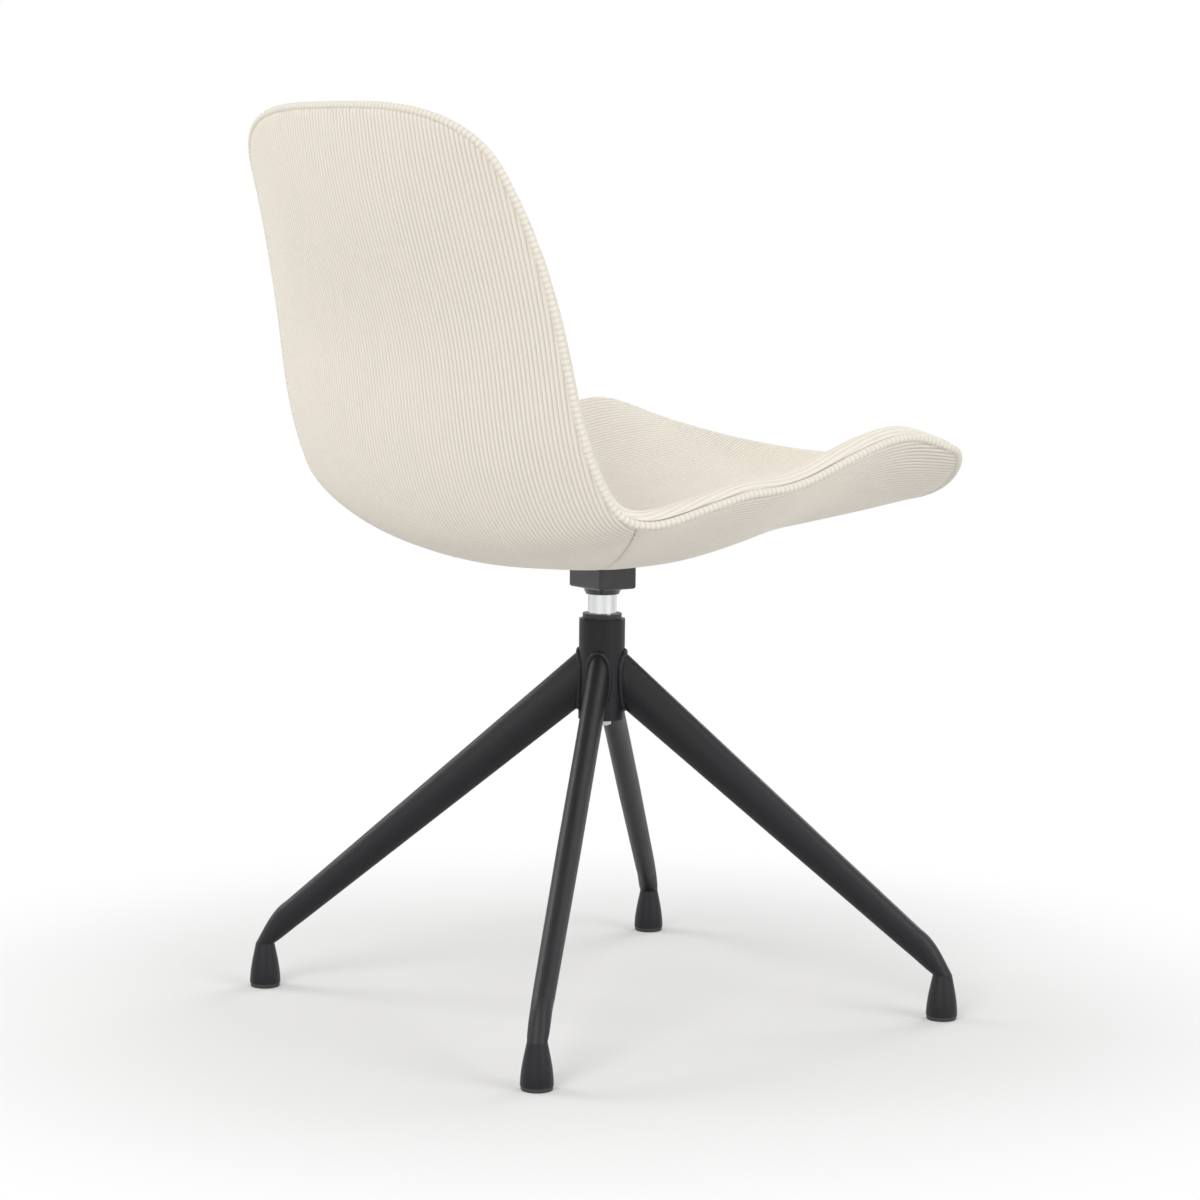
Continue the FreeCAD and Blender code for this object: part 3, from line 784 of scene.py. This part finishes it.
class CHAIR_OT_pad(bpy.types.Operator):
    """Models the pad of the seat and back with its ribbed inner cover"""
    bl_idname = "chair.pad"
    bl_label = "Seat and back pad"

    def execute(self, context):
        cloth = context.scene.chair_cloth
        pitch = cloth.wale_pitch
        step = pitch / cloth.steps
        edge_u, edge_a = outline_half(-PAD_OUTSET, 120)
        inner_u, inner_a = outline_half(PAD_WALL_IN - PAD_OUTSET, 120)
        half, low, high = edge_limits(inner_u, inner_a)
        rows = end_rows(inner_u[0], inner_u[-1], cloth.row_gap)
        places, faces = strip_grid(rows, half(rows), step, low, high)

        def thickness(u, a, inside):
            share = share_of(u)
            width = along_section(u, half_width_at(share)[0])
            side = np.clip(np.abs(a) / np.maximum(width, 0.01), 0, 1)
            edge = pad_edge_at(share)[0]
            middle = pad_middle_at(share)[0]
            roll = smooth_step(1 - np.clip(u, 0, None) / FRONT_ROLL_LENGTH)
            middle = middle + (FRONT_ROLL_HEIGHT - PAD_MIDDLES[0]) * roll
            top = edge + (middle - edge) * (1 - side ** 4)
            front = smooth_step(1 - (u + PAD_OUTSET) / FRONT_ROLL_LENGTH)
            reach = PAD_REACH + PAD_FRONT_REACH * front * (1 - side ** 4)
            part = np.clip(1 - inside / reach, 0, 1)
            return PAD_LOW + (top - PAD_LOW) * np.sqrt(1 - part ** 2)

        u, a = places.T
        to_edge = nearest(u, a, edge_u, edge_a)
        lift = thickness(u, a, to_edge)
        lift = lift + cloth.unevenness * ripple(u, a, 8.0) * smooth_step(to_edge / WAVE_FADE)
        rib = wale(a, pitch)
        points = place(u, a, lift - cloth.wale_depth * (1 - rib))

        # The side wall, ring by ring from the top's border down to the core
        loop = border_loop(faces)
        rim = places[loop]
        out = outwards(rim)
        gap = nearest(rim[:, 0], rim[:, 1], edge_u, edge_a)
        rings = [points]
        ribs = [rib]
        index = [loop]
        total = len(points)
        run = np.zeros(len(loop))
        previous = np.stack([rim[:, 0], rim[:, 1], lift[loop]], -1)
        for i in range(1, PAD_WALL_STEPS + 1):
            turn = pi / 2 * i / PAD_WALL_STEPS
            inside = gap * (1 - sin(turn))
            spot = rim + out * (gap * sin(turn))[:, None]
            level = thickness(spot[:, 0], spot[:, 1], inside)
            here = np.stack([spot[:, 0], spot[:, 1], level], -1)
            run = run + np.linalg.norm(here - previous, axis=1) * np.abs(out[:, 1])
            previous = here
            wall_rib = wale(np.abs(rim[:, 1]) + run, pitch)
            pull = cloth.wale_depth * (1 - wall_rib)
            spot = spot - out * pull[:, None]
            rings.append(place(spot[:, 0], spot[:, 1], level))
            ribs.append(wall_rib)
            index.append(list(range(total, total + len(loop))))
            total += len(loop)
        walls = []
        for upper, lower in zip(index, index[1:]):
            walls += wall_between(upper, lower)
        inner, fill = back_fill(rim + out * gap[:, None], index[-1][0], total)
        rings.append(place(inner[:, 0], inner[:, 1], PAD_LOW))
        ribs.append(np.zeros(len(inner)))
        # The last number sets the painted shade between the wales
        material = cream_fabric("cream_cord_inside", context.scene.chair_colours, 1.02, 0.68)
        piece = mesh_object("seat_pad_cloth", np.concatenate(rings), faces + walls + fill,
                            "seat", ["seat_pad"], material, {"rib": np.concatenate(ribs)})
        return {"FINISHED"}


class CHAIR_OT_base(bpy.types.Operator):
    """Gives the base, the swivel and the fixings their finishes"""
    bl_idname = "chair.base"
    bl_label = "Base finishes"

    def execute(self, context):
        colours = context.scene.chair_colours
        finishes = {
            "powder_coated_steel": powder_coat("powder_coat", colours),
            "chromed_steel": chrome("chrome_plate"),
            "zinc_plated_steel": zinc("zinc_plate"),
            "black_gloss_plastic": moulded("gloss_black", (0.012, 0.012, 0.014), 0.10, 0.6),
            "black_matte_plastic": moulded("matt_black", (0.03, 0.03, 0.032), 0.5),
            "bearing_plastic": moulded("bearing_black", (0.022, 0.022, 0.024), 0.38),
            "shell_plastic": moulded("shell_black", (0.05, 0.05, 0.05), 0.6),
        }
        for row in frame["record"]["subparts"]:
            material = finishes.get(row["material_slot"])
            # The cloth's slots are dressed with the cloth pieces
            if material is None:
                continue
            for slot in frame["nodes"][row["node"]].material_slots:
                slot.material = material
        return {"FINISHED"}


class CHAIR_OT_stage(bpy.types.Operator):
    """Sets the floor, the lights, the white surround and the camera"""
    bl_idname = "chair.stage"
    bl_label = "Stage"

    def execute(self, context):
        scene = context.scene
        scene.view_settings.view_transform = "Standard"
        for other in context.selected_objects:
            other.select_set(False)
        bpy.ops.mesh.primitive_circle_add(vertices=96, radius=FLOOR_RADIUS, fill_type="NGON")
        floor = context.active_object
        floor.name = "floor"
        floor.data.materials.append(self.floor_material())
        self.surround(scene)
        for lamp in LAMPS:
            self.lamp(*lamp)
        self.camera(scene)
        return {"FINISHED"}

    def floor_material(self):
        """Pale floor that keeps the chair's shadow and fades to the white surround far out."""
        finish = Finish("stage_floor")
        position = finish.node("ShaderNodeTexCoord", output="Object")
        from_middle = finish.node("ShaderNodeVectorMath", {"operation": "LENGTH"},
                                  {"Vector": position}, "Value")
        fade = {"Value": from_middle, "From Min": 0.25, "From Max": 0.80,
                "To Min": 0.10, "To Max": 1.0}
        far = finish.node("ShaderNodeMapRange", {"interpolation_type": "SMOOTHSTEP"}, fade)
        seen = finish.node("ShaderNodeLightPath", output="Is Camera Ray")
        finish.set(Base_Color=(0.74, 0.74, 0.74), Roughness=0.9, Specular_IOR_Level=0.1)
        shader = Value(finish.tree, finish.shader.outputs[0])
        glow = finish.node("ShaderNodeEmission")
        mix = finish.node("ShaderNodeMixShader", sockets={0: far * seen, 1: shader, 2: glow})
        finish.put(finish.tree.nodes["Material Output"].inputs[0], mix)
        return finish.material

    def surround(self, scene):
        """White surround, at full strength where the camera, a mirror or glass shows it."""
        world = bpy.data.worlds.new("surround")
        world.use_nodes = True
        scene.world = world
        shading = Shading(world.node_tree)
        ground = shading.tree.nodes["Background"]
        shading.put(ground.inputs["Color"], (1.0, 1.0, 1.0))
        seen = shading.node("ShaderNodeLightPath", output="Is Camera Ray")
        mirrored = shading.node("ShaderNodeLightPath", output="Is Glossy Ray")
        through = shading.node("ShaderNodeLightPath", output="Is Transmission Ray")
        shading.put(ground.inputs["Strength"], 0.5 + 0.5 * (seen + mirrored + through))

    def lamp(self, name, place_at, size, power, colour):
        bpy.ops.object.light_add(type="AREA", location=place_at)
        lamp = bpy.context.active_object
        lamp.name = name
        lamp.data.shape = "DISK"
        lamp.data.size = size
        lamp.data.energy = power
        lamp.data.color = colour
        aim = Vector((0.0, 0.0, AIM_HEIGHT)) - Vector(place_at)
        lamp.rotation_mode = "QUATERNION"
        lamp.rotation_quaternion = aim.to_track_quat("-Z", "Y")

    def camera(self, scene):
        view = scene.chair_view
        bpy.ops.object.camera_add()
        camera = bpy.context.active_object
        camera.name = "camera"
        camera.data.lens = view.lens
        camera.data.sensor_width = SENSOR_WIDTH_MM
        turn = view.azimuth - view.yaw
        level = cos(view.pitch)
        forward = Vector((-sin(turn) * level, cos(turn) * level, -sin(view.pitch)))
        right = Vector((cos(turn), sin(turn), 0.0))
        up = right.cross(forward)
        tilted = right * cos(view.roll) + up * sin(view.roll)
        upright = up * cos(view.roll) - right * sin(view.roll)
        stand = Vector((sin(view.azimuth), -cos(view.azimuth), 0.0)) * view.distance
        stand.y += AXIS_Y
        stand.z = view.height
        facing = Matrix((tilted, upright, -forward)).transposed().to_4x4()
        camera.matrix_world = Matrix.Translation(stand) @ facing
        scene.camera = camera


class CHAIR_PT_panel(bpy.types.Panel):
    """Lists the chair's pieces and sizes"""
    bl_label = "Swivel dining chair"
    bl_space_type = "VIEW_3D"
    bl_region_type = "UI"
    bl_category = "Chair"

    def draw(self, context):
        layout = self.layout
        for operator in OPERATORS:
            layout.operator(operator.bl_idname)
        for name in GROUPS:
            group = getattr(context.scene, name)
            box = layout.box()
            for key in group.bl_rna.properties.keys():
                if key not in {"rna_type", "name"}:
                    box.prop(group, key)


OPERATORS = (CHAIR_OT_covers, CHAIR_OT_piping, CHAIR_OT_pad, CHAIR_OT_base, CHAIR_OT_stage)
GROUPS = {"chair_cloth": ChairCloth, "chair_piping": ChairPiping, "chair_colours": ChairColours,
          "chair_view": ChairView}


def register():
    for kind in (*GROUPS.values(), *OPERATORS, CHAIR_PT_panel):
        bpy.utils.register_class(kind)
    for name, group in GROUPS.items():
        setattr(bpy.types.Scene, name, PointerProperty(type=group))


def unregister():
    for name in GROUPS:
        delattr(bpy.types.Scene, name)
    for kind in reversed((*GROUPS.values(), *OPERATORS, CHAIR_PT_panel)):
        bpy.utils.unregister_class(kind)


def main():
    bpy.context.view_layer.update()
    register()
    for operator in OPERATORS:
        area, name = operator.bl_idname.split(".")
        getattr(getattr(bpy.ops, area), name)()


if __name__ == "__main__":
    main()
